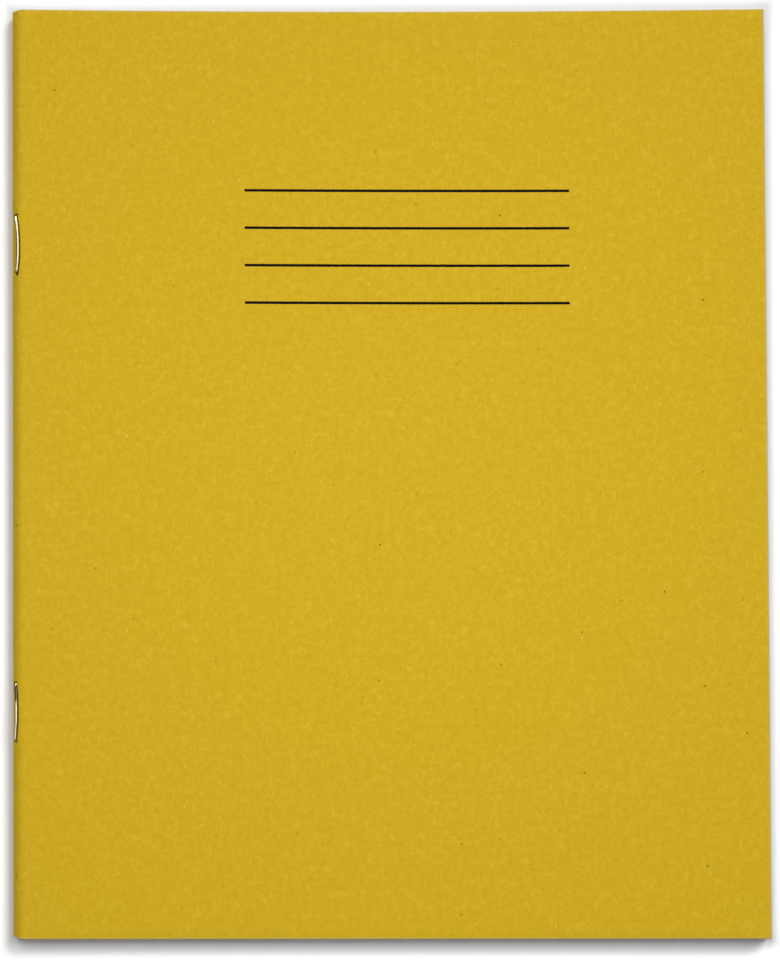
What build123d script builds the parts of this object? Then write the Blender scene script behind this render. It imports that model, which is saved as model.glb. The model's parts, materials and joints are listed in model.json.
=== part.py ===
from build123d import *
import os
from math import atan2, cos, radians, sin, tan

# Stapled exercise book, closed and lying on its back cover.
# Millimetres. +Z is up, +Y runs from tail to head, the spine is at -X and the fore-edge at +X.
# The origin is the middle of the underside.

# Trimmed size of the closed book
book_width = 165.0
book_height = 203.0

# Paper and card
sheet_count = 20          # folded sheets, each of two leaves
paper_thickness = 0.09
leaf_gap = 0.005          # air between one leaf and the next
card_thickness = 0.25

# Staples, both bent from the same wire
wire_diameter = 0.5
wire_sides = 12           # flats that stand for the round of the wire
bend_radius = 0.5         # at the corners, to the middle of the wire
crown_length = 12.2       # from leg to leg
prong_length = 4.8        # clinched end, from its leg
crown_press = 0.15        # how deep the crown is pressed into the card
wire_clearance = 0.03     # round the crown in its groove, and round the prongs in the gutter
hole_clearance = 0.14     # round the legs in the card and the paper

# Flat margin at both ends of every fold, so that the legs and bowed crowns
# lie between the leaves, and not on them, when the book is open
fold_margin = 1.0

# Where each staple sits: its middle along the spine, how far its legs are turned up from
# the middle of the spine's curve, and how far its crown is bowed towards the front cover
upper_along_spine = 50.2
upper_shoulder_deg = 54.5
upper_bow = 0.54
lower_along_spine = -52.1
lower_shoulder_deg = 43.0
lower_bow = 0.36

# Worked out from the sizes above
wire_radius = wire_diameter / 2
leaf_pitch = paper_thickness + leaf_gap           # at the folds
gutter_radius = wire_radius + wire_clearance
cover_inner = gutter_radius + sheet_count * leaf_pitch
cover_outer = cover_inner + card_thickness
edge_pitch = cover_inner / sheet_count            # at the fore-edge, where the gutter has closed up
spine_x = cover_outer - book_width / 2
spine_z = cover_outer
fore_edge = book_width / 2 - spine_x
crown_radius = cover_outer + wire_radius - crown_press

# The section plane stands square to the spine, with its origin on the common axis of all the folds
spine_section = Plane(origin=(spine_x, 0, spine_z), x_dir=(1, 0, 0), z_dir=(0, -1, 0))


def along_book(face):
    return extrude(spine_section * face, amount=book_height / 2, both=True)


def panel(at_fold, at_edge, thickness, side):
    # a flat leaf or cover panel from the end of its fold to the fore-edge, side +1 in front, -1 behind;
    # at_fold and at_edge are how far its inner face lies from the middle of the book
    outline = Polyline(
        (fold_margin, side * at_fold),
        (fore_edge, side * at_edge),
        (fore_edge, side * (at_edge + thickness)),
        (fold_margin, side * (at_fold + thickness)),
        close=True,
    )
    return along_book(make_face(outline))


def fold(inner, thickness):
    # a half round of paper or card with a flat margin at each end, where its panels start
    outer = inner + thickness
    outline = [
        Line((fold_margin, outer), (0, outer)),
        ThreePointArc((0, outer), (-outer, 0), (0, -outer)),
        Line((0, -outer), (fold_margin, -outer)),
        Line((fold_margin, -outer), (fold_margin, -inner)),
        Line((fold_margin, -inner), (0, -inner)),
        ThreePointArc((0, -inner), (-inner, 0), (0, inner)),
        Line((0, inner), (fold_margin, inner)),
        Line((fold_margin, inner), (fold_margin, outer)),
    ]
    return along_book(make_face(outline))


def sheet_inner(sheet):
    # sheet 1 is the outermost, next to the cover
    return gutter_radius + (sheet_count - sheet) * leaf_pitch


def leaf(sheet, side):
    at_edge = (sheet_count - sheet) * edge_pitch + (edge_pitch - paper_thickness) / 2
    return panel(sheet_inner(sheet), at_edge, paper_thickness, side)


def staple_frame(shoulder_deg):
    # outwards along the legs, and round the spine towards the front cover
    angle = radians(shoulder_deg)
    outwards = Vector(-cos(angle), 0, sin(angle))
    forwards = Vector(sin(angle), 0, cos(angle))
    return outwards, forwards


def staple_path(along_spine, shoulder_deg, bow):
    outwards, forwards = staple_frame(shoulder_deg)
    half = crown_length / 2
    # the crown lies on the round of the spine, so its middle is turned about the axis
    bow_angle = bow / crown_radius
    corner = outwards * crown_radius
    middle = outwards * (crown_radius * cos(bow_angle)) + forwards * (crown_radius * sin(bow_angle))
    # two straight runs meet at the apex, and a wide arc between them passes through the middle
    sideways = (middle - corner) * (2 * half / (half + 2 * bend_radius))
    slant = atan2(sideways.length, half)
    bow_radius = (half / cos(slant) - 2 * bend_radius) / tan(slant)
    apex = corner + sideways
    in_gutter = Vector(0, 0, 0)
    on_axis = Vector(spine_x, along_spine, spine_z)

    def point(across, along):
        return on_axis + across + Vector(0, along, 0)

    return FilletPolyline(
        point(in_gutter, prong_length - half),
        point(in_gutter, -half),
        point(corner, -half),
        point(apex, 0),
        point(corner, half),
        point(in_gutter, half),
        point(in_gutter, half - prong_length),
        radius=[bend_radius, bend_radius, bow_radius, bend_radius, bend_radius],
    )


def bent_wire(path, radius):
    start = Plane(origin=path @ 0, z_dir=path % 0)
    return sweep(start * RegularPolygon(radius, wire_sides), path=path)


def leg_holes(along_spine, shoulder_deg):
    # straight square holes from the axis out through every fold and the cover
    outwards, _ = staple_frame(shoulder_deg)
    width = wire_diameter + 2 * hole_clearance
    depth = cover_outer + wire_diameter
    holes = []
    for side in (-1, 1):
        place = Vector(spine_x, along_spine + side * crown_length / 2, spine_z)
        hole = Box(width, width, depth, align=(Align.CENTER, Align.CENTER, Align.MIN))
        holes.append(Plane(origin=place, x_dir=(0, 1, 0), z_dir=outwards) * hole)
    return holes


nodes = {
    "front_cover": panel(cover_inner, cover_inner, card_thickness, 1),
    "back_cover": panel(cover_inner, cover_inner, card_thickness, -1),
}

for sheet in range(1, sheet_count + 1):
    nodes[f"leaf_{sheet:02d}"] = leaf(sheet, 1)
    nodes[f"leaf_{2 * sheet_count + 1 - sheet:02d}"] = leaf(sheet, -1)

holes = []
grooves = []
for name, along_spine, shoulder_deg, bow in (
    ("upper_staple", upper_along_spine, upper_shoulder_deg, upper_bow),
    ("lower_staple", lower_along_spine, lower_shoulder_deg, lower_bow),
):
    path = staple_path(along_spine, shoulder_deg, bow)
    nodes[name] = bent_wire(path, wire_radius)
    grooves.append(bent_wire(path, wire_radius + wire_clearance))
    holes += leg_holes(along_spine, shoulder_deg)

nodes["cover_spine"] = fold(cover_inner, card_thickness) - holes - grooves
nodes["sheet_folds"] = Compound(
    children=[
        (fold(sheet_inner(sheet), paper_thickness) - holes).solid()
        for sheet in range(1, sheet_count + 1)
    ]
)

os.makedirs("parts", exist_ok=True)
for name, shape in sorted(nodes.items()):
    export_step(shape, f"parts/{name}.step")

print(f"closed thickness {2 * cover_outer:.3f} mm, fold axis at x {spine_x:.3f}, z {spine_z:.3f}")
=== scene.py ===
import json
import math
import random

import bpy
import numpy as np
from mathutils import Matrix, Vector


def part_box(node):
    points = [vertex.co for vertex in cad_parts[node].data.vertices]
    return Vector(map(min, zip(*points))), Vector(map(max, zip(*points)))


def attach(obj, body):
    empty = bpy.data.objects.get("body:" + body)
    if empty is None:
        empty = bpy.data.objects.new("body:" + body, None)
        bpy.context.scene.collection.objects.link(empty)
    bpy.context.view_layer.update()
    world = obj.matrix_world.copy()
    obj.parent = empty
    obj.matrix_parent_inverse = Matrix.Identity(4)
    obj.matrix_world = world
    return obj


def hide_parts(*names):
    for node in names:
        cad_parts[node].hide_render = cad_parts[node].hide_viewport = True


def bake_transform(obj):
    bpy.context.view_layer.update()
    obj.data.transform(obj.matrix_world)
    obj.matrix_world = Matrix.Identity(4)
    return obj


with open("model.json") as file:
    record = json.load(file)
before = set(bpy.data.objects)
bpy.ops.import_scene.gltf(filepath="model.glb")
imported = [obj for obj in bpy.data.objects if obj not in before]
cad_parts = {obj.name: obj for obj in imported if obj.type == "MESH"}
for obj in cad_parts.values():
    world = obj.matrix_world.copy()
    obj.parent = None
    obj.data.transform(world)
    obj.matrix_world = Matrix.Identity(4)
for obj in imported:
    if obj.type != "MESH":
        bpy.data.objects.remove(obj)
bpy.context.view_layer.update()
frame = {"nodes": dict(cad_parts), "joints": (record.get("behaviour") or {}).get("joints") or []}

mm = 0.001
joints = {joint["name"]: joint for joint in frame["joints"]}
axisX, _, axisZ = joints["open_at_centre"]["pos_m"]     # common axis of all the folds
creaseX = joints["front_cover_open"]["pos_m"][0]        # where the front cover bends

backLow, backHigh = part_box("back_cover")
spineLow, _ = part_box("cover_spine")
halfHeight = backHigh.y
foreEdge = backHigh.x
spineEdge = spineLow.x
bookWidth = foreEdge - spineEdge
cardThickness = backHigh.z - backLow.z
coverRadius = axisZ - backLow.z                         # from the fold axis to the outside of the card
sheetCount = sum(name.startswith("leaf_") for name in frame["nodes"]) // 2

# the three knives of the trimmer were not quite square, so the outline is a little out
trim = {
    "headHollow": 0.56 * mm,    # the head edge is lower in its middle
    "headDrop": 1.00 * mm,      # and lower at the fore-edge than at the spine
    "foreSkew": 0.74 * mm,      # the fore-edge comes in towards the head
}


def trimmed(x, y):
    # x and y of a point after trimming, from its place in an exact rectangle
    across = (x - spineEdge) / bookWidth
    up = 0.5 + y / (2 * halfHeight)
    hollow = 4 * across * (1 - across)
    newX = x - trim["foreSkew"] * np.clip(across, 0, 1) * up
    newY = y - up * (trim["headHollow"] * hollow + trim["headDrop"] * across)
    return newX, newY


def smooth(low, high, value):
    t = np.clip((value - low) / (high - low), 0, 1)
    return t * t * (3 - 2 * t)


def onStretch(ends, value):
    # 1 on a stretch and 0 off it; its ends say where it starts, is full, starts to fade and is over
    start, full, fade, over = ends
    return smooth(start, full, value) * smooth(over, fade, value)


# meshes

sharpTurn = math.radians(50)        # an edge that turns by more is drawn sharp


def addObject(name, data):
    thing = bpy.data.objects.new(name, data)
    bpy.context.scene.collection.objects.link(thing)
    return thing


def meshPiece(name, spots, faces, slots, mapName, mapSpots, materials):
    # a material slot for each face, and a place in the UV map for each point
    mesh = bpy.data.meshes.new(name)
    mesh.from_pydata(spots.tolist(), [], faces)
    for material in materials:
        mesh.materials.append(material)
    corners = np.zeros(len(mesh.loops), int)
    mesh.loops.foreach_get("vertex_index", corners)
    mesh.uv_layers.new(name=mapName).uv.foreach_set("vector", mapSpots[corners].ravel())
    mesh.polygons.foreach_set("material_index", slots)
    mesh.polygons.foreach_set("use_smooth", [True] * len(faces))
    mesh.set_sharp_from_angle(angle=sharpTurn)
    mesh.update()
    return addObject(name, mesh)


def markPoints(piece, name, values):
    # a value for each point, which the materials read
    marks = piece.data.attributes.new(name, "FLOAT", "POINT")
    marks.data.foreach_set("value", values.astype(np.float32))


def sheetGrid(line, rows):
    # points of one face of a sheet, rows along the spine by places across, in the frame
    grid = np.zeros((len(rows), len(line), 3))
    grid[:, :, 0] = axisX + line[None, :, 0]
    grid[:, :, 1] = np.array(rows)[:, None]
    grid[:, :, 2] = axisZ + line[None, :, 1]
    return grid


def sheetPiece(name, outerGrid, innerGrid, outerRun, innerRun, rows, materials):
    # a closed sheet of paper or card from the grids of its two faces; runs and rows give the UV map,
    # and the two materials are for the faces and for the cut edges
    rowCount, placeCount = outerGrid.shape[:2]
    spots = np.concatenate([outerGrid.reshape(-1, 3), innerGrid.reshape(-1, 3)])
    spots[:, 0], spots[:, 1] = trimmed(spots[:, 0], spots[:, 1])
    mapSpots = np.zeros((len(spots), 2))
    mapSpots[:, 0] = np.concatenate([np.tile(outerRun, rowCount), np.tile(innerRun, rowCount)])
    mapSpots[:, 1] = np.tile(np.repeat(np.array(rows), placeCount), 2)

    def outer(row, place):
        return row * placeCount + place

    def inner(row, place):
        return (rowCount + row) * placeCount + place

    faces = []
    for row in range(rowCount - 1):
        for place in range(placeCount - 1):
            around = ((row, place), (row, place + 1), (row + 1, place + 1), (row + 1, place))
            faces.append([outer(*at) for at in around])
            faces.append([inner(*at) for at in reversed(around)])
    faceCount = len(faces)
    last, end = rowCount - 1, placeCount - 1
    for place in range(end):
        after = place + 1
        faces.append([inner(0, place), inner(0, after), outer(0, after), outer(0, place)])
        faces.append([outer(last, place), outer(last, after), inner(last, after), inner(last, place)])
    for row in range(last):
        after = row + 1
        faces.append([outer(row, 0), outer(after, 0), inner(after, 0), inner(row, 0)])
        faces.append([inner(row, end), inner(after, end), outer(after, end), outer(row, end)])
    slots = [int(i >= faceCount) for i in range(len(faces))]
    return meshPiece(name, spots, faces, slots, "paperMap", mapSpots, materials)


def unit(vectors):
    return vectors / np.linalg.norm(vectors, axis=-1, keepdims=True)


def lengthsAlong(points):
    steps = np.linalg.norm(np.diff(points, axis=0), axis=1)
    return np.concatenate([[0], np.cumsum(steps)])


def normalsAlong(points):
    ahead = unit(np.gradient(points, axis=0))
    return np.stack([-ahead[:, 1], ahead[:, 0]], axis=1)


def roundedLine(corners, radii, steps, spacing):
    # straight runs between rounded corners, with points no further apart than the spacing there
    corners = [np.array(c, float) for c in corners]
    points = [corners[0]]
    for before, here, after, radius in zip(corners, corners[1:], corners[2:], radii):
        inward, onward = unit(before - here), unit(after - here)
        half = math.acos(np.clip(inward @ onward, -1, 1)) / 2
        centre = here + unit(inward + onward) * radius / math.sin(half)
        first = here + inward * radius / math.tan(half) - centre
        second = here + onward * radius / math.tan(half) - centre
        turn = math.pi - 2 * half
        for step in range(steps + 1):
            t = step / steps
            arm = first * math.sin((1 - t) * turn) + second * math.sin(t * turn)
            points.append(centre + arm / math.sin(turn))
    points.append(corners[-1])
    fine = [points[0]]
    for here, after in zip(points, points[1:]):
        pieces = max(1, math.ceil(np.linalg.norm(after - here) / spacing((here + after) / 2)))
        fine += [here + (after - here) * k / pieces for k in range(1, pieces + 1)]
    return np.array(fine)


def bendFold(piece):
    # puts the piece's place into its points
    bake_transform(piece)


# shader parts

def connect(tree, value, socket):
    if isinstance(value, bpy.types.NodeSocket):
        tree.links.new(value, socket)
    else:
        socket.default_value = value


def addNode(tree, kind, settings=None, **inputs):
    node = tree.nodes.new(kind)
    for name, value in (settings or {}).items():
        setattr(node, name, value)
    for name, value in inputs.items():
        connect(tree, value, node.inputs[name.replace("_", " ")])
    return node


def calc(tree, operation, *values):
    node = addNode(tree, "ShaderNodeMath", {"operation": operation})
    for value, socket in zip(values, node.inputs):
        connect(tree, value, socket)
    return node.outputs[0]


def times(tree, value, factor):
    return calc(tree, "MULTIPLY", value, factor)


def ramp(tree, value, low, high, outLow=0.0, outHigh=1.0):
    node = addNode(
        tree, "ShaderNodeMapRange", {"interpolation_type": "SMOOTHSTEP"},
        Value=value, From_Min=low, From_Max=high, To_Min=outLow, To_Max=outHigh,
    )
    return node.outputs["Result"]


def blendColour(tree, share, first, second):
    node = addNode(tree, "ShaderNodeMix", {"data_type": "RGBA"})
    connect(tree, share, node.inputs[0])
    for value, socket in ((first, node.inputs[6]), (second, node.inputs[7])):
        connect(tree, value if isinstance(value, bpy.types.NodeSocket) else (*value, 1), socket)
    return node.outputs[2]


def tint(tree, tone, mask, share, colour):
    return blendColour(tree, times(tree, mask, share), tone, colour)


def separated(tree, vector):
    return addNode(tree, "ShaderNodeSeparateXYZ", Vector=vector).outputs


def stretched(tree, vector, scale, turn=0.0):
    # draws a pattern out along y; a turn in degrees gives each use a pattern of its own
    turns, scales = (0, 0, math.radians(turn)), (1, scale, 1)
    return addNode(tree, "ShaderNodeMapping", Vector=vector, Rotation=turns, Scale=scales).outputs[0]


def uvPlace(tree, name):
    return addNode(tree, "ShaderNodeUVMap", {"uv_map": name}).outputs[0]


def pointMark(tree, name):
    return addNode(tree, "ShaderNodeAttribute", {"attribute_name": name}).outputs["Fac"]


def newGroup(name, inputs, outputs):
    tree = bpy.data.node_groups.new(name, "ShaderNodeTree")
    for label, kind, value in inputs:
        socket = tree.interface.new_socket(label, in_out="INPUT", socket_type=kind)
        if value is not None:
            socket.default_value = value
    for label in outputs:
        tree.interface.new_socket(label, in_out="OUTPUT", socket_type="NodeSocketFloat")
    return tree, tree.nodes.new("NodeGroupInput").outputs, tree.nodes.new("NodeGroupOutput").inputs


def useGroup(tree, group, **inputs):
    return addNode(tree, "ShaderNodeGroup", {"node_tree": group}, **inputs).outputs


def newMaterial(name, colour, roughness, metallic=0.0):
    material = bpy.data.materials.new(name)
    material.use_nodes = True
    material.diffuse_color = (*colour, 1)
    tree = material.node_tree
    shader = tree.nodes["Principled BSDF"]
    shader.inputs["Base Color"].default_value = (*colour, 1)
    shader.inputs["Roughness"].default_value = roughness
    shader.inputs["Metallic"].default_value = metallic
    return material, tree, shader


def addBump(tree, shader, height, strength, depth):
    bump = addNode(tree, "ShaderNodeBump", Height=height, Strength=strength, Distance=depth)
    connect(tree, bump.outputs[0], shader.inputs["Normal"])


def sizedNoise(tree, vector, size, detail, roughness):
    node = addNode(tree, "ShaderNodeTexNoise", Vector=vector, Detail=detail, Roughness=roughness)
    connect(tree, calc(tree, "DIVIDE", 1.0, size), node.inputs["Scale"])
    return node.outputs[0]


def fromNearestLine(tree, level, step, last=None):
    # distance from the nearest of the lines at 0, 1, 2 and so on up to the last step
    index = calc(tree, "ROUND", calc(tree, "DIVIDE", level, step))
    index = calc(tree, "MAXIMUM", index, 0.0)
    if last is not None:
        index = calc(tree, "MINIMUM", index, last)
    return calc(tree, "ABSOLUTE", calc(tree, "SUBTRACT", level, times(tree, index, step)))


def inkedLine(tree, away, width, rim):
    # the rim is where the ink starts to thin out and is over, as shares of the line's width
    return ramp(tree, away, width * rim[0], width * rim[1], 1.0, 0.0)


# pulp of paper and card

pulpMix = {
    "sizes": {                  # in the card
        "Cloud Size": 1.4 * mm,
        "Fibre Size": 2.4 * mm,
        "Fleck Size": 0.21 * mm,
        "Speck Size": 0.34 * mm,
    },
    "broad": (4.0, 0.62),       # detail and roughness of the noise
    "fine": (3.0, 0.6),
    "fineSize": 0.27,           # as a share of the cloud's
    "fineShare": 0.45,
    "strands": ((0.34, 12), (0.5, -38), (0.62, 71)),    # how far drawn out along the grain, and turn
    "strand": (1.5, 0.5),
    "strandRim": (0.006, 0.040),
    "breaks": (1.0, 0.5),
    "breakSize": 0.4,           # as a share of the fibre's, added to its stretch
    "breakRim": (0.5, 0.66),
    "fleckGrain": (0.4, -14),
    "flecks": (20, 0.05),       # width of a cell in sizes of the mark, and share of the cells with a mark
    "specks": (26, 0.11),
    "dots": (15, 0.05),
    "dotSize": 0.6,             # as shares of the speck's
    "dotStrength": 0.7,
    "markCore": 0.35,           # share of a mark's radius inside its soft rim
    "markFaintest": 0.45,
    "tooth": (3.0, 0.7),
    "toothSize": 0.12,          # as a share of the cloud's
    "toothRelief": 0.5,         # how much fibres and finer clouds add to it
}
edgeToneMix = {
    "grain": (0.9 * mm, 3.0, 0.6),      # size, detail and roughness of the noise
    "uneven": (0.25, 0.75, 0.35, 1.5),  # range of the grain, and of the reach it gives
}


def scatteredMarks(tree, vector, radius, cellWidth, share):
    # soft round spots, one at most in each cell, on the given share of cells
    cell = times(tree, radius, cellWidth)
    node = addNode(tree, "ShaderNodeTexVoronoi", {"voronoi_dimensions": "2D"}, Vector=vector)
    connect(tree, calc(tree, "DIVIDE", 1.0, cell), node.inputs["Scale"])
    distance = times(tree, node.outputs["Distance"], cell)
    pick = addNode(tree, "ShaderNodeSeparateColor", Color=node.outputs["Color"]).outputs[0]
    spot = ramp(tree, distance, times(tree, radius, pulpMix["markCore"]), radius, 1.0, 0.0)
    chosen = calc(tree, "LESS_THAN", pick, share)
    strength = ramp(tree, pick, 0.0, share, pulpMix["markFaintest"], 1.0)
    return times(tree, times(tree, spot, chosen), strength)


def fibreGroup():
    # what pulp leaves in paper and card: cloudy tone, hair-thin fibres, pale flecks, dark specks and tooth
    inputs = [("Vector", "NodeSocketVector", None)]
    inputs += [(label, "NodeSocketFloat", size) for label, size in pulpMix["sizes"].items()]
    tree, given, out = newGroup("paperPulp", inputs, ("Cloud", "Fibres", "Flecks", "Specks", "Tooth"))
    place, cloudSize, fibreSize = given["Vector"], given["Cloud Size"], given["Fibre Size"]

    fineShare = pulpMix["fineShare"]
    broad = sizedNoise(tree, place, cloudSize, *pulpMix["broad"])
    fine = sizedNoise(tree, place, times(tree, cloudSize, pulpMix["fineSize"]), *pulpMix["fine"])
    cloud = calc(tree, "ADD", times(tree, broad, 1 - fineShare), times(tree, fine, fineShare))
    connect(tree, cloud, out["Cloud"])

    # a fibre is where a slow noise passes its middle value, broken up by another noise
    fibres = 0.0
    for stretch, turn in pulpMix["strands"]:
        wander = sizedNoise(tree, stretched(tree, place, stretch, turn), fibreSize, *pulpMix["strand"])
        offMiddle = calc(tree, "ABSOLUTE", calc(tree, "SUBTRACT", wander, 0.5))
        strand = ramp(tree, offMiddle, *pulpMix["strandRim"], 1.0, 0.0)
        breakSize = times(tree, fibreSize, pulpMix["breakSize"] + stretch)
        breaks = sizedNoise(tree, place, breakSize, *pulpMix["breaks"])
        strand = times(tree, strand, ramp(tree, breaks, *pulpMix["breakRim"]))
        fibres = calc(tree, "MAXIMUM", fibres, strand)
    connect(tree, fibres, out["Fibres"])

    grain = stretched(tree, place, *pulpMix["fleckGrain"])
    connect(tree, scatteredMarks(tree, grain, given["Fleck Size"], *pulpMix["flecks"]), out["Flecks"])

    speckSize = given["Speck Size"]
    specks = scatteredMarks(tree, place, speckSize, *pulpMix["specks"])
    dots = scatteredMarks(tree, place, times(tree, speckSize, pulpMix["dotSize"]), *pulpMix["dots"])
    connect(tree, calc(tree, "MAXIMUM", specks, times(tree, dots, pulpMix["dotStrength"])), out["Specks"])

    relief = pulpMix["toothRelief"]
    tooth = sizedNoise(tree, place, times(tree, cloudSize, pulpMix["toothSize"]), *pulpMix["tooth"])
    raised = calc(tree, "ADD", tooth, times(tree, fibres, relief))
    connect(tree, calc(tree, "ADD", raised, times(tree, fine, relief)), out["Tooth"])
    return tree


def cutEdgeGroup():
    # how near a point is to the cut edges of its sheet, over an uneven reach
    tree, given, out = newGroup(
        "cutEdge",
        [
            ("Vector", "NodeSocketVector", None),
            ("Low", "NodeSocketFloat", 0.0),
            ("High", "NodeSocketFloat", 0.1),
            ("Half Height", "NodeSocketFloat", 0.1),
            ("Reach", "NodeSocketFloat", 0.3 * mm),
        ],
        ("Scuff",),
    )
    place = separated(tree, given["Vector"])
    fromEnds = calc(tree, "SUBTRACT", given["Half Height"], calc(tree, "ABSOLUTE", place["Y"]))
    fromLow = calc(tree, "SUBTRACT", place["X"], given["Low"])
    fromHigh = calc(tree, "SUBTRACT", given["High"], place["X"])
    nearest = calc(tree, "MINIMUM", calc(tree, "MINIMUM", fromLow, fromHigh), fromEnds)
    grain = sizedNoise(tree, given["Vector"], *edgeToneMix["grain"])
    reach = times(tree, given["Reach"], ramp(tree, grain, *edgeToneMix["uneven"]))
    connect(tree, ramp(tree, nearest, 0.0, reach, 1.0, 0.0), out["Scuff"])
    return tree


paperPulp = fibreGroup()
cutEdge = cutEdgeGroup()
print("shader groups ready")


def pulpTone(tree, uv, looks, low):
    # colour of a sheet with its clouds, marks and edge tone, and the pulp it comes from
    pulp = useGroup(tree, paperPulp, Vector=uv, **looks["pulpSizes"])
    edge = useGroup(
        tree, cutEdge, Vector=uv, Low=low, High=bookWidth, Half_Height=halfHeight, Reach=looks["scuffReach"],
    )
    tone = blendColour(tree, ramp(tree, pulp["Cloud"], *looks["cloudTone"]), looks["shade"], looks["colour"])
    for mark, share, colour in looks["marks"]:
        tone = tint(tree, tone, pulp[mark], share, colour)
    return tint(tree, tone, edge["Scuff"], looks["scuffShare"], looks["scuffed"]), pulp


def cutMaterial(name, cut):
    # the bared core where the knife went through
    material, tree, shader = newMaterial(name, cut["colour"], cut["roughness"])
    torn = sizedNoise(tree, uvPlace(tree, "paperMap"), *cut["grain"])
    tone = blendColour(tree, ramp(tree, torn, *cut["grainTone"]), cut["shade"], cut["colour"])
    connect(tree, tone, shader.inputs["Base Color"])
    addBump(tree, shader, torn, *cut["bump"])
    return material


# cover card

card = {
    "colour": (0.669, 0.4350, 0.0205),
    "shade": (0.596, 0.3810, 0.0106),
    "cloudTone": (0.34, 0.66),
    "pulpSizes": {},            # as in the group
    "marks": (                  # how strong each is, and its colour
        ("Fibres", 0.28, (0.770, 0.540, 0.040)),
        ("Flecks", 0.60, (0.860, 0.650, 0.110)),
        ("Specks", 0.85, (0.210, 0.120, 0.012)),
    ),
    # the card is paler and greyer near its cut edges
    "scuffed": (0.620, 0.490, 0.175),
    "scuffShare": 0.55,
    "scuffReach": 0.60 * mm,
    # near black of the painted shade in the staple holes and beside the wire
    "hole": (0.012, 0.008, 0.004),
    "roughness": 0.86,
    "cloudRoughness": (0.3, 0.7, 0.80, 0.92),   # range of the clouds, and of the roughness they give
    "specular": 0.1,
    "bump": (0.35, 0.03 * mm),  # strength and depth
    "edgeRound": 0.18 * mm,     # the cut edges are rubbed round
    "edgeTurns": (90, 66, 45, 22, 0),
}
cardCore = {
    "colour": (0.720, 0.520, 0.075),
    "shade": card["shade"],
    "grain": (0.5 * mm, 4.0, 0.65),
    "grainTone": (0.3, 0.7),
    "roughness": 0.9,
    "bump": (0.4, 0.03 * mm),
}
nameLines = {
    "ink": (0.0015, 0.0012, 0.0012),
    "from": 51.17 * mm,         # from the spine's edge
    "to": 122.18 * mm,
    "down": 39.18 * mm,         # first line below the head
    "step": 8.207 * mm,
    "count": 4,
    "width": 0.58 * mm,
    "rim": (0.44, 0.56),
    "tilt": 0.0027,
    "endSoft": 0.05 * mm,
    "grain": (0.35 * mm, 2.0, 0.5),
    "creep": (0.2, 0.8, -0.03 * mm, 0.03 * mm),     # range of the grain, and how far the ink creeps by it
}


def printedLines(tree, place):
    # four lines to write a name on, in black ink
    x, y = place["X"], place["Y"]
    tilted = calc(tree, "ADD", y, times(tree, x, nameLines["tilt"]))
    level = calc(tree, "SUBTRACT", halfHeight - nameLines["down"], tilted)
    away = fromNearestLine(tree, level, nameLines["step"], nameLines["count"] - 1.0)
    flat = addNode(tree, "ShaderNodeCombineXYZ", X=x, Y=y).outputs[0]
    grain = sizedNoise(tree, flat, *nameLines["grain"])
    away = calc(tree, "ADD", away, ramp(tree, grain, *nameLines["creep"]))
    line = inkedLine(tree, away, nameLines["width"], nameLines["rim"])
    start, end, soft = nameLines["from"], nameLines["to"], nameLines["endSoft"]
    begins = ramp(tree, x, start - soft, start + soft)
    ends = ramp(tree, x, end - soft, end + soft, 1.0, 0.0)
    return times(tree, line, times(tree, begins, ends))


def cardMaterial(coverStart):
    material, tree, shader = newMaterial("manilaCard", card["colour"], card["roughness"])
    uv = uvPlace(tree, "paperMap")
    tone, pulp = pulpTone(tree, uv, card, coverStart)
    tone = blendColour(tree, printedLines(tree, separated(tree, uv)), tone, nameLines["ink"])
    # painted shade in the staple holes and along the grooves' sides
    tone = blendColour(tree, pointMark(tree, "legHole"), tone, card["hole"])
    connect(tree, tone, shader.inputs["Base Color"])
    connect(tree, ramp(tree, pulp["Cloud"], *card["cloudRoughness"]), shader.inputs["Roughness"])
    shader.inputs["Specular IOR Level"].default_value = card["specular"]
    addBump(tree, shader, pulp["Tooth"], *card["bump"])
    return material


# staples

wire = {
    "radius": 0.25 * mm,
    "bendRadius": 0.50 * mm,
    "crownHalf": 6.1 * mm,
    "crownRadius": 2.52 * mm,   # of the crown about the fold axis
    "prongLength": 4.8 * mm,
    "tip": 0.9 * mm,            # length of the sharpened end
    "blunt": 0.35,              # share of the radius left at the tip
    "sides": 18,
    "steps": (6, 7, 3, 14),     # along a prong, a bend, a leg and half a crown
    "bowPower": 2.2,
    # places along the crown, as shares of its half length
    "tailKinkAlong": (0.42, 0.6, 0.9, 1.15),
    "headKinkAlong": (0.6, 1.0),
    "sunkAlong": (0.28, 0.55, 0.86, 1.0),
    "stainAlong": (0.26, 0.46, 0.92, 1.0),
    "headStainAlong": (0.935, 0.985),
    "stainFrom": 0.8,           # share of the crown's radius, so only the crown gets the painted shade
    "colour": (0.880, 0.790, 0.530),
    "dull": (0.440, 0.395, 0.290),
    "scratch": (0.350, 0.315, 0.240),
    # near black painted shade on the wire: the lower crown's head part, sunk in its slit, and the upper
    # crown's end dipping into its hole
    "tarnish": (0.070, 0.052, 0.024),
    "roughness": 0.24,
    "worn": (1.1 * mm, 4.0, 0.6),
    "wornTone": (0.42, 0.72, 0.0, 0.6),
    "wornRoughness": (0.3, 0.75, 0.22, 0.42),
    "streaks": (0.06 * mm, 3.0, 0.6),
    "streakStretch": 0.03,
    "streakTone": (0.55, 0.75, 0.0, 0.5),
    "streakRoughness": (0.5, 0.8, 0.0, 0.12),
    "bump": (0.3, 0.01 * mm),
}
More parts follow.
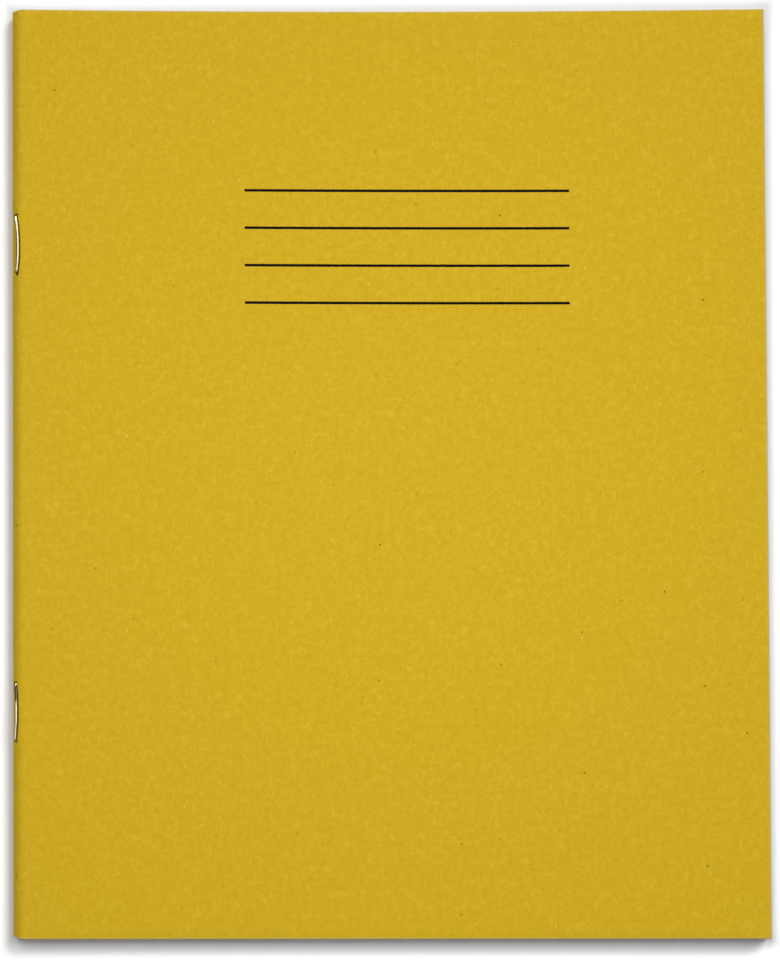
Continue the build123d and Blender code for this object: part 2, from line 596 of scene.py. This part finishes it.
staples = {
    "upperStaple": {
        "node": "upper_staple",
        "along": 50.2 * mm,
        "shoulder": math.radians(54.5),
        "bow": 0.54 * mm,
        "lean": -0.14 * mm,
        "kinks": (0.0, 0.10 * mm),
        "sunk": 0.0,
        "tarnish": 0.0,
        # painted shade where the head end bends down into its hole
        "headStain": 0.92,
        # holes at the head and tail ends: along past the leg, sideways, half length, half width, and
        # darkness of the painted shade in them
        "holes": (
            (0.10 * mm, 0.24 * mm, 0.50 * mm, 0.32 * mm, 1.0),
            (0.40 * mm, -0.10 * mm, 0.62 * mm, 0.34 * mm, 1.0),
        ),
    },
    "lowerStaple": {
        "node": "lower_staple",
        "along": -52.1 * mm,
        "shoulder": math.radians(43.0),
        "bow": 0.40 * mm,
        "lean": -0.04 * mm,
        "kinks": (0.10 * mm, 0.0),
        "sunk": 0.24 * mm,
        # painted shade on the head part of the crown, which lies sunk in its slit
        "tarnish": 0.9,
        "headStain": 0.0,
        "holes": (
            (0.28 * mm, 0.05 * mm, 0.36 * mm, 0.26 * mm, 0.75),
            (0.30 * mm, 0.05 * mm, 0.36 * mm, 0.28 * mm, 0.85),
        ),
    },
}


def crownSideways(staple, share):
    # how far the crown lies towards the front, at a share of its half length from -1 (tail) to 1 (head)
    tailKink, headKink = staple["kinks"]
    bowed = staple["bow"] * (1 - np.abs(share) ** wire["bowPower"]) + staple["lean"] * share
    bowed = bowed - tailKink * onStretch(wire["tailKinkAlong"], -share)
    return bowed - headKink * smooth(*wire["headKinkAlong"], share)


def crownHeight(staple, share):
    # radius of the crown's middle line; part of the lower one has sunk into the card
    return wire["crownRadius"] - staple["sunk"] * onStretch(wire["sunkAlong"], share)


def aroundAxis(radius, angle):
    # across and up from the fold axis; the angle is turned up from the middle of the spine
    return -radius * np.cos(angle), radius * np.sin(angle)


def staplePath(staple):
    half, bend, top = wire["crownHalf"], wire["bendRadius"], wire["crownRadius"]
    inner = half - bend
    tipAt = half - wire["prongLength"]
    prongSteps, bendSteps, legSteps, crownSteps = wire["steps"]
    turns = [k * math.pi / 2 / bendSteps for k in range(bendSteps + 1)]
    # along the spine and out from the axis, one half of the staple, from the tip to the middle of the crown
    line = [(tipAt + (inner - tipAt) * k / prongSteps, 0.0) for k in range(prongSteps)]
    line += [(inner + bend * math.sin(a), bend - bend * math.cos(a)) for a in turns]
    line += [(half, bend + (top - 2 * bend) * k / legSteps) for k in range(1, legSteps)]
    line += [(inner + bend * math.cos(a), top - bend + bend * math.sin(a)) for a in turns]
    line += [(inner - inner * k / crownSteps, top) for k in range(1, crownSteps + 1)]
    whole = [(-along, out) for along, out in line] + list(reversed(line[:-1]))
    points = []
    for along, out in whole:
        share = along / half
        onCrown = smooth(top - bend, top, out)
        drop = top - float(crownHeight(staple, share))
        angle = staple["shoulder"] + onCrown * float(crownSideways(staple, share)) / top
        x, z = aroundAxis(out - onCrown * drop, angle)
        points.append((axisX + x, staple["along"] + along, axisZ + z))
    return np.array(points)


def wirePiece(name, path, material):
    # round wire along the path, tapered to a blunt chisel at both tips
    run = lengthsAlong(path)
    ahead = unit(np.gradient(path, axis=0))
    side = unit(np.cross(ahead[0], (0, 0, 1)))
    radius, sides, blunt = wire["radius"], wire["sides"], wire["blunt"]
    spots, mapSpots = [], []
    for spot, forward, at in zip(path, ahead, run):
        side = unit(side - forward * (side @ forward))
        up = np.cross(forward, side)
        narrow = blunt + (1 - blunt) * float(smooth(0, wire["tip"], min(at, run[-1] - at)))
        flat = blunt + (1 - blunt) * narrow
        for k in range(sides):
            angle = 2 * math.pi * k / sides
            offset = side * math.cos(angle) * narrow + up * math.sin(angle) * flat
            spots.append(spot + radius * offset)
            mapSpots.append((radius * angle, at))
    lastRing = (len(path) - 1) * sides
    faces = []
    for ring in range(0, lastRing, sides):
        for k in range(sides):
            after = (k + 1) % sides
            faces.append([ring + k, ring + after, ring + sides + after, ring + sides + k])
    faces.append(list(reversed(range(sides))))
    faces.append([lastRing + k for k in range(sides)])
    slots = [0] * len(faces)
    return meshPiece(name, np.array(spots), faces, slots, "wireMap", np.array(mapSpots), [material])


def wireMaterial():
    # drawn steel wire with a thin bright coating, scratched lengthwise by the stapling head
    material, tree, shader = newMaterial("stapleWire", wire["colour"], wire["roughness"], 1.0)
    uv = uvPlace(tree, "wireMap")
    worn = sizedNoise(tree, uv, *wire["worn"])
    streaks = sizedNoise(tree, stretched(tree, uv, wire["streakStretch"]), *wire["streaks"])
    tone = blendColour(tree, ramp(tree, worn, *wire["wornTone"]), wire["colour"], wire["dull"])
    tone = blendColour(tree, ramp(tree, streaks, *wire["streakTone"]), tone, wire["scratch"])
    # painted shade where the points mark the wire
    tone = blendColour(tree, pointMark(tree, "tarnish"), tone, wire["tarnish"])
    connect(tree, tone, shader.inputs["Base Color"])
    rough = ramp(tree, worn, *wire["wornRoughness"])
    rough = calc(tree, "ADD", rough, ramp(tree, streaks, *wire["streakRoughness"]))
    connect(tree, rough, shader.inputs["Roughness"])
    addBump(tree, shader, streaks, *wire["bump"])
    return material


steel = wireMaterial()
for name, staple in staples.items():
    path = staplePath(staple)
    piece = wirePiece(name, path, steel)
    share = (path[:, 1] - staple["along"]) / wire["crownHalf"]
    fromAxis = np.hypot(path[:, 0] - axisX, path[:, 2] - axisZ)
    # painted shade along the wire, kept to its crown
    wireShade = staple["tarnish"] * onStretch(wire["stainAlong"], share)
    wireShade = np.maximum(wireShade, staple["headStain"] * smooth(*wire["headStainAlong"], share))
    wireShade = wireShade * (fromAxis > wire["stainFrom"] * wire["crownRadius"])
    markPoints(piece, "tarnish", np.repeat(wireShade, wire["sides"]))
    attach(piece, "spine")
    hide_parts(staple["node"])
print("staples bent:", len(staples))


# cover: back panel, spine and front panel, parted at the middle of the spine and beside the front crease

spineShape = {
    "slope": math.radians(39.0),    # tilt of the faces that pressing has left beside the spine
    "pressed": 0.095 * mm,      # how far these lie inside the round of the folds
    "nosePressed": 0.01 * mm,
    "shoulderRound": 2.5 * mm,
    "noseRound": 1.6 * mm,
    "roundSteps": 10,
    "sheetRoom": 0.002 * mm,    # between the card and the outermost sheet
    "endTuck": 0.30 * mm,       # the ends of the spine are rubbed in
    "tuckFrom": 0.3 * mm,       # from here outwards to the nose
    "tuckLength": 3 * mm,       # along the spine
    "flatFrom": 1.2 * mm,
    "flatSpacing": 14 * mm,
    "frontSpacing": 0.075 * mm,
    "backSpacing": 0.25 * mm,
    "rowCount": 30,
    "endRows": (0.4 * mm, 0.7 * mm, 1.1 * mm, 1.8 * mm, 3.0 * mm),
    "leastRow": 0.03 * mm,
}
groove = {
    "reach": 0.46 * mm,         # half the width of the groove that a crown has pressed
    "floor": 0.26 * mm,         # below the wire's middle
    "rise": 0.275 * mm,         # from its floor to its sides
    "soft": 0.05 * mm,
    "fade": (0.7 * mm, 0.15 * mm),      # past the legs
    "across": 1.6 * mm,         # card further off than this is left as it is
    "below": 1.2 * mm,
    "pitDepth": 0.22 * mm,      # of the holes at the legs
    "pitRim": (1.2, 0.7),       # in sizes of the hole
    "rubbed": (0.66 * mm, 0.48 * mm),   # painted shade on the sides of the groove, beside the wire
    "rubbedShift": 0.07 * mm,
    "rubbedShare": 0.85,
    "deepest": 0.85,            # share of the card's thickness
    "rowsPast": 1.6 * mm,
    "rowCount": 90,
}
frontPanel = {
    "creaseColumns": 16,
    "columns": 18,
    "rows": 22,
    "rim": 2 * mm,              # along the cut edges, with points of its own
}
creaseReach = 1.2 * mm          # width of card that bends when the front cover opens
seamAt = creaseX - axisX - creaseReach / 2
foreAt = foreEdge - axisX
noseAt = coverRadius - spineShape["nosePressed"]
# places of the points that draw a rubbed edge, measured in from the cut
edgeSteps = card["edgeRound"] * (1 - np.sin(np.radians(card["edgeTurns"])))


def coverSpacing(middle):
    # close points only where the spine is bent, pressed and pierced
    if middle[0] > spineShape["flatFrom"]:
        return spineShape["flatSpacing"]
    return spineShape["frontSpacing"] if middle[1] > 0 else spineShape["backSpacing"]


def coverHalf(flatEnd, side):
    # outside of the card from a flat end to the middle of the spine, side 1 in front and -1 behind
    slope = spineShape["slope"]
    facetAt = coverRadius - spineShape["pressed"]
    shoulderAt = (facetAt - coverRadius * math.cos(slope)) / math.sin(slope)
    noseHalf = (facetAt - noseAt * math.sin(slope)) / math.cos(slope)
    corners = [
        (flatEnd, side * coverRadius),
        (-shoulderAt, side * coverRadius),
        (-noseAt, side * noseHalf),
        (-noseAt, 0),
    ]
    radii = [spineShape["shoulderRound"], spineShape["noseRound"]]
    return roundedLine(corners, radii, spineShape["roundSteps"], coverSpacing)


def spineRows():
    rows = list(np.linspace(-halfHeight, halfHeight, spineShape["rowCount"]))
    for end in (-1, 1):
        rows += [end * (halfHeight - d) for d in (*edgeSteps, *spineShape["endRows"])]
    for staple in staples.values():
        reach = wire["crownHalf"] + groove["rowsPast"]
        rows += list(np.linspace(staple["along"] - reach, staple["along"] + reach, groove["rowCount"]))
    rows = sorted(rows)
    return [rows[0]] + [b for a, b in zip(rows, rows[1:]) if b - a > spineShape["leastRow"]]


def rubbedEdge(grid):
    # how far the outside of the card falls away at its three cut edges
    fromCut = np.minimum(foreEdge - grid[:, :, 0], halfHeight - np.abs(grid[:, :, 1]))
    short = np.clip(1 - fromCut / card["edgeRound"], 0, 1)
    return card["edgeRound"] * (1 - np.sqrt(1 - short**2))


def tuckEnds(grid):
    # the ends of the spine are rubbed in towards its nose
    nose = smooth(spineShape["tuckFrom"], -coverRadius, grid[:, :, 0] - axisX)
    nearEnd = smooth(halfHeight - spineShape["tuckLength"], halfHeight, np.abs(grid[:, :, 1]))
    grid[:, :, 1] -= np.sign(grid[:, :, 1]) * spineShape["endTuck"] * nose * nearEnd


def pressSpine(grid, rows, thickness):
    # how deep the card is pressed by crowns, legs and rubbing, and how dark its painted shade is there, in
    # the holes and along the grooves
    depth = np.zeros(grid.shape[:2])
    holes = np.zeros(grid.shape[:2])
    across, up = grid[:, :, 0] - axisX, grid[:, :, 2] - axisZ
    half, soft = wire["crownHalf"], groove["soft"]
    fadeEnd, fadeStart = groove["fade"]
    for staple in staples.values():
        offset = (np.array(rows) - staple["along"])[:, None]
        share = np.clip(offset / half, -1, 1)
        angle = staple["shoulder"] + crownSideways(staple, share) / wire["crownRadius"]
        # of each point, out from the middle of the wire and sideways from it
        height = up * np.sin(angle) - across * np.cos(angle) - crownHeight(staple, share)
        sideways = across * np.sin(angle) + up * np.cos(angle)
        near = (np.abs(sideways) < groove["across"]) & (height > -groove["below"])
        fade = smooth(half + fadeEnd, half + fadeStart, np.abs(offset))
        floor = groove["rise"] * (sideways / groove["reach"]) ** 2 - groove["floor"]
        gap = np.clip((height - floor) / soft, -20, 20)
        pushed = np.where(gap > -6, soft * np.log1p(np.exp(gap)), 0)    # with a rounded rim
        depth = np.maximum(depth, np.where(near, pushed * fade, 0))
        # each hole is a real pit, darkened further with painted shade
        for end, (past, beside, length, width, paintedDark) in zip((1, -1), staple["holes"]):
            alongHole = (offset - end * (half + past)) / length
            fromHole = np.hypot(alongHole, (sideways - beside) / width)
            pit = np.where(near, smooth(*groove["pitRim"], fromHole), 0)
            depth = np.maximum(depth, pit * groove["pitDepth"])
            holes = np.maximum(holes, paintedDark * pit)
        # painted shade along both sides of each crown's groove
        rubbed = smooth(*groove["rubbed"], np.abs(sideways + groove["rubbedShift"])) * fade
        holes = np.maximum(holes, np.where(near, groove["rubbedShare"] * rubbed, 0))
    depth = np.maximum(depth, rubbedEdge(grid))
    return np.minimum(depth, thickness[None, :] * groove["deepest"]), holes


# once round the outside of the card, from the fore-edge behind to the seam in front
edgeLine = np.stack([foreAt - edgeSteps, np.full(len(edgeSteps), -coverRadius)], axis=1)
behind = np.concatenate([edgeLine, coverHalf(foreAt, -1)[1:]])
backLine = np.concatenate([behind, coverHalf(seamAt, 1)[-2::-1]])
noseColumn = len(behind) - 1
backNormals = normalsAlong(backLine)
backRun = lengthsAlong(backLine)
backRun += seamAt + axisX - spineEdge - backRun[-1]     # 0 is where the front panel's own map starts

cardSides = (cardMaterial(backRun[0]), cutMaterial("manilaCut", cardCore))
rows = spineRows()
# the card is thinner where it was pressed, because the sheets inside stay round
innerLine = backLine - backNormals * cardThickness
fromAxis = np.hypot(np.minimum(innerLine[:, 0], 0), innerLine[:, 1])
room = coverRadius - cardThickness + spineShape["sheetRoom"]
innerLine *= np.where(innerLine[:, 0] < 0, np.maximum(1, room / fromAxis), 1)[:, None]
outerGrid, innerGrid = sheetGrid(backLine, rows), sheetGrid(innerLine, rows)
depth, holes = pressSpine(outerGrid, rows, np.linalg.norm(backLine - innerLine, axis=1))
outerGrid[:, :, 0] -= depth * backNormals[None, :, 0]
outerGrid[:, :, 2] -= depth * backNormals[None, :, 1]
tuckEnds(outerGrid)
tuckEnds(innerGrid)

for name, side, near, far, columns, nodes in (
    ("coverBack", -1, "back", "leaf_01", slice(0, noseColumn + 1), ("back_cover", "cover_spine")),
    ("coverSpine", 1, "leaf_01", "back", slice(noseColumn, None), ("cover_spine",)),
):
    run = backRun[columns]
    piece = sheetPiece(name, outerGrid[:, columns], innerGrid[:, columns], run, run, rows, cardSides)
    # painted shade of the holes and grooves, for the material to read
    paintedDark = holes[:, columns].ravel()
    markPoints(piece, "legHole", np.concatenate([paintedDark, np.zeros(paintedDark.size)]))   # only on the outside
    bendFold(piece)
    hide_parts(*nodes)

rim = frontPanel["rim"]
frontX = np.concatenate([
    np.linspace(seamAt, seamAt + creaseReach, frontPanel["creaseColumns"]),
    np.linspace(seamAt + creaseReach, foreAt - rim, frontPanel["columns"])[1:],
    foreAt - edgeSteps[::-1],
])
frontLine = np.stack([frontX, np.full(len(frontX), coverRadius)], axis=1)
frontRows = np.concatenate([
    edgeSteps - halfHeight,
    np.linspace(rim - halfHeight, halfHeight - rim, frontPanel["rows"]),
    halfHeight - edgeSteps[::-1],
])
frontRun = frontX + axisX - spineEdge
innerRun = backRun[0] + frontRun[-1] - frontRun     # clear of the printed lines
outerGrid = sheetGrid(frontLine, frontRows)
innerGrid = sheetGrid(frontLine - (0, cardThickness), frontRows)
outerGrid[:, :, 2] -= rubbedEdge(outerGrid)
coverFront = sheetPiece("coverFront", outerGrid, innerGrid, frontRun, innerRun, frontRows, cardSides)
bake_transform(coverFront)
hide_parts("front_cover")
print("cover folded:", len(backLine), "by", len(rows), "points round the spine")


# writing sheets

page = {
    "colour": (0.830, 0.820, 0.775),
    "shade": (0.785, 0.772, 0.720),
    "cloudTone": (0.3, 0.7),
    "pulpSizes": {"Cloud_Size": 2.2 * mm, "Fibre_Size": 1.6 * mm, "Speck_Size": 0.1 * mm},
    "marks": (
        ("Fibres", 0.20, (0.900, 0.890, 0.850)),
        ("Specks", 0.25, (0.520, 0.480, 0.400)),
    ),
    # painted shade: the page faces darker near their cut edges
    "scuffed": (0.640, 0.620, 0.570),
    "scuffShare": 0.3,
    "scuffReach": 1.2 * mm,
    "roughness": 0.9,
    "specular": 0.25,
    "bump": (0.2, 0.015 * mm),
    "foreShort": (0.02 * mm, 0.12 * mm),    # the trimmed edges don't quite line up
    "endShort": (0.0, 0.1 * mm),
    "leafPoints": 7,
    "foldPoints": 25,
    "rows": 3,
}
# the pages' cut faces, darkened with painted shade for the gaps between the leaves
shadedPageCut = {
    "colour": (0.800, 0.785, 0.735),
    "shade": page["scuffed"],
    "grain": (0.7 * mm, 4.0, 0.65),
    "grainTone": (0.32, 0.68),
    "roughness": 0.92,
    "bump": (0.3, 0.02 * mm),
}
ruling = {
    "feint": (0.330, 0.470, 0.640),
    "feintShare": 0.75,
    "margin": (0.640, 0.250, 0.260),
    "marginShare": 0.8,
    "marginFrom": 20 * mm,      # from the left side of each page
    "first": 24 * mm,           # below the head
    "step": 8 * mm,
    "last": 13 * mm,            # above the tail
    "width": 0.22 * mm,
    "rim": (0.3, 0.7),
}


def ruledLines(tree, place):
    level = calc(tree, "SUBTRACT", halfHeight - ruling["first"], place["Y"])
    away = fromNearestLine(tree, level, ruling["step"])
    line = inkedLine(tree, away, ruling["width"], ruling["rim"])
    return times(tree, line, calc(tree, "GREATER_THAN", place["Y"], ruling["last"] - halfHeight))


def marginLines(tree, place):
    # right-hand pages count from the fold, left-hand pages from the fore-edge
    onRight = calc(tree, "ABSOLUTE", calc(tree, "SUBTRACT", place["X"], ruling["marginFrom"]))
    onLeft = calc(tree, "ABSOLUTE", calc(tree, "ADD", place["X"], bookWidth - ruling["marginFrom"]))
    return inkedLine(tree, calc(tree, "MINIMUM", onRight, onLeft), ruling["width"], ruling["rim"])


def pageMaterial():
    material, tree, shader = newMaterial("writingPaper", page["colour"], page["roughness"])
    uv = uvPlace(tree, "paperMap")
    place = separated(tree, uv)
    tone, pulp = pulpTone(tree, uv, page, -bookWidth)
    tone = tint(tree, tone, ruledLines(tree, place), ruling["feintShare"], ruling["feint"])
    tone = tint(tree, tone, marginLines(tree, place), ruling["marginShare"], ruling["margin"])
    connect(tree, tone, shader.inputs["Base Color"])
    shader.inputs["Specular IOR Level"].default_value = page["specular"]
    addBump(tree, shader, pulp["Tooth"], *page["bump"])
    return material


def leafEnds(node):
    # where a leaf starts, and how far its faces lie from the middle of the book there and at the fore-edge
    spots = [v.co for v in frame["nodes"][node].data.vertices]
    start = min(spot.x for spot in spots)
    pastStart = start + 1 * mm
    atFold = sorted(abs(spot.z - axisZ) for spot in spots if spot.x < pastStart)
    atEdge = sorted(abs(spot.z - axisZ) for spot in spots if spot.x > pastStart)
    return start - axisX, atFold[0], atFold[-1], atEdge[0], atEdge[-1]


def foldedSheet(index, rng):
    # one sheet, number 1 outermost: back leaf, fold and front leaf
    margin, foldInner, foldOuter, edgeInner, edgeOuter = leafEnds(f"leaf_{index:02d}")
    end = foreAt - rng.uniform(*page["foreShort"])
    shares = np.linspace(0, 1, page["leafPoints"])
    angles = np.linspace(math.pi / 2, -math.pi / 2, page["foldPoints"])
    faces = []
    for fold, edge in ((foldOuter, edgeOuter), (foldInner, edgeInner)):
        leafLine = [(margin + (end - margin) * s, fold + (edge - fold) * s) for s in shares[::-1]]
        leafLine.append((margin / 2, fold))
        arc = [(-fold * math.cos(a), fold * math.sin(a)) for a in angles]
        behind = [(x, -z) for x, z in leafLine[::-1]]
        faces.append(np.array(leafLine + arc + behind)[::-1])
    outer, inner = faces
    run = lengthsAlong((outer + inner) / 2)
    run -= run[-1] / 2
    headShort, tailShort = rng.uniform(*page["endShort"]), rng.uniform(*page["endShort"])
    rows = list(np.linspace(-halfHeight + tailShort, halfHeight - headShort, page["rows"]))
    return outer, inner, run, rows, foldInner


pageSides = (pageMaterial(), cutMaterial("writingPaperCut", shadedPageCut))
rng = random.Random(7)
for index in range(1, sheetCount + 1):
    outer, inner, run, sheetRows, foldInner = foldedSheet(index, rng)
    frontLeaf, backLeaf = f"leaf_{index:02d}", f"leaf_{2 * sheetCount + 1 - index:02d}"
    frontBody, backBody = frontLeaf, "back" if index == 1 else backLeaf
    middle = len(run) // 2
    for half, side, leaf, near, far, places in (
        ("front", 1, frontLeaf, frontBody, backBody, slice(middle, None)),
        ("back", -1, backLeaf, backBody, frontBody, slice(0, middle + 1)),
    ):
        outerGrid, innerGrid = sheetGrid(outer[places], sheetRows), sheetGrid(inner[places], sheetRows)
        tuckEnds(outerGrid)
        tuckEnds(innerGrid)
        sheet = sheetPiece(
            f"sheet_{index:02d}_{half}", outerGrid, innerGrid,
            run[places], -run[places], sheetRows, pageSides,
        )
        bendFold(sheet)
        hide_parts(leaf, "sheet_folds")
print("sheets nested:", sheetCount)


# studio

studio = {
    "floorSize": 3.0,
    "floorDrop": 0.02 * mm,
    "floorTone": 0.86,
    "floorSeen": (0.80, 1.22),  # what the camera sees of it: painted shadow beside the book, white further out
    "floorFade": 3.75 * mm,
    "softboxes": {              # place, size and power of each
        "leftLight": ((-0.694, 2.413, 4.0), (1.056, 2.958), 77.9),
        "rightLight": ((3.112, 3.724, 4.0), (3.09, 2.008), 318.6),
        "topLight": ((0.0, 0.0, 0.20), (0.16, 0.18), 0.12),     # close, so the middle is brightest
    },
    "fill": 0.175,
    "walls": 0.06,              # as seen in metal
    "wallsTo": 0.55,            # sine of the height up to which they reach
    "ceilingFrom": 0.88,
    "cameraAt": (8.47 * mm, -9.32 * mm, 550 * mm),
    "cameraTurn": (0.788, 0.888, -0.188),
    "lens": 93.945,
    "sensor": 36,
    "clipStart": 0.01,
}


def studioFloor():
    size = studio["floorSize"]
    mesh = bpy.data.meshes.new("floor")
    corners = [(-size, -size), (size, -size), (size, size), (-size, size)]
    mesh.from_pydata([(x, y, -studio["floorDrop"]) for x, y in corners], [], [(0, 1, 2, 3)])
    floor = addObject("floor", mesh)
    material = bpy.data.materials.new("studioFloor")
    material.use_nodes = True
    tree = material.node_tree
    tree.nodes.clear()
    path = addNode(tree, "ShaderNodeLightPath").outputs
    place = separated(tree, addNode(tree, "ShaderNodeNewGeometry").outputs["Position"])
    beside = calc(tree, "SUBTRACT", calc(tree, "ABSOLUTE", place["X"]), foreEdge)
    beyond = calc(tree, "SUBTRACT", calc(tree, "ABSOLUTE", place["Y"]), halfHeight)
    # painted shadow: the floor the camera sees darkens towards the book's outline
    away = ramp(tree, calc(tree, "MAXIMUM", beside, beyond), 0.0, studio["floorFade"], *studio["floorSeen"])
    tone = studio["floorTone"]
    seen = addNode(tree, "ShaderNodeCombineColor", Red=away, Green=away, Blue=away).outputs[0]
    colour = blendColour(tree, path["Is Camera Ray"], (tone, tone, tone), seen)
    cloth = addNode(tree, "ShaderNodeBsdfDiffuse", Color=colour)
    addNode(tree, "ShaderNodeOutputMaterial", Surface=cloth.outputs[0])
    mesh.materials.append(material)


def softbox(name, at, size, power):
    # hung level, facing the floor
    lamp = bpy.data.lights.new(name, "AREA")
    lamp.shape = "RECTANGLE"
    lamp.size, lamp.size_y = size
    lamp.energy = power
    light = addObject(name, lamp)
    light.location = at
    light.visible_camera = False


def studioLight():
    for name, (at, size, power) in studio["softboxes"].items():
        softbox(name, at, size, power)
    world = bpy.data.worlds.new("studioWorld")
    bpy.context.scene.world = world
    world.use_nodes = True
    tree = world.node_tree
    # mirrored surfaces see a white ceiling over dim walls
    up = separated(tree, addNode(tree, "ShaderNodeTexCoord").outputs["Generated"])["Z"]
    ceiling = ramp(tree, up, studio["wallsTo"], studio["ceilingFrom"], studio["walls"], 1.0)
    path = addNode(tree, "ShaderNodeLightPath").outputs
    level = calc(tree, "SUBTRACT", ceiling, studio["fill"])
    level = calc(tree, "ADD", studio["fill"], times(tree, level, path["Is Glossy Ray"]))
    level = calc(tree, "MAXIMUM", level, path["Is Camera Ray"])     # white past the floor's edge
    backdrop = tree.nodes["Background"]
    backdrop.inputs["Color"].default_value = (1, 1, 1, 1)
    connect(tree, level, backdrop.inputs["Strength"])


def studioCamera():
    lens = bpy.data.cameras.new("camera")
    lens.lens = studio["lens"]
    lens.sensor_width = studio["sensor"]
    lens.clip_start = studio["clipStart"]
    camera = addObject("camera", lens)
    camera.location = studio["cameraAt"]
    camera.rotation_euler = [math.radians(turn) for turn in studio["cameraTurn"]]
    bpy.context.scene.camera = camera


studioFloor()
studioLight()
studioCamera()
bpy.context.scene.view_settings.view_transform = "Standard"
print("studio set")
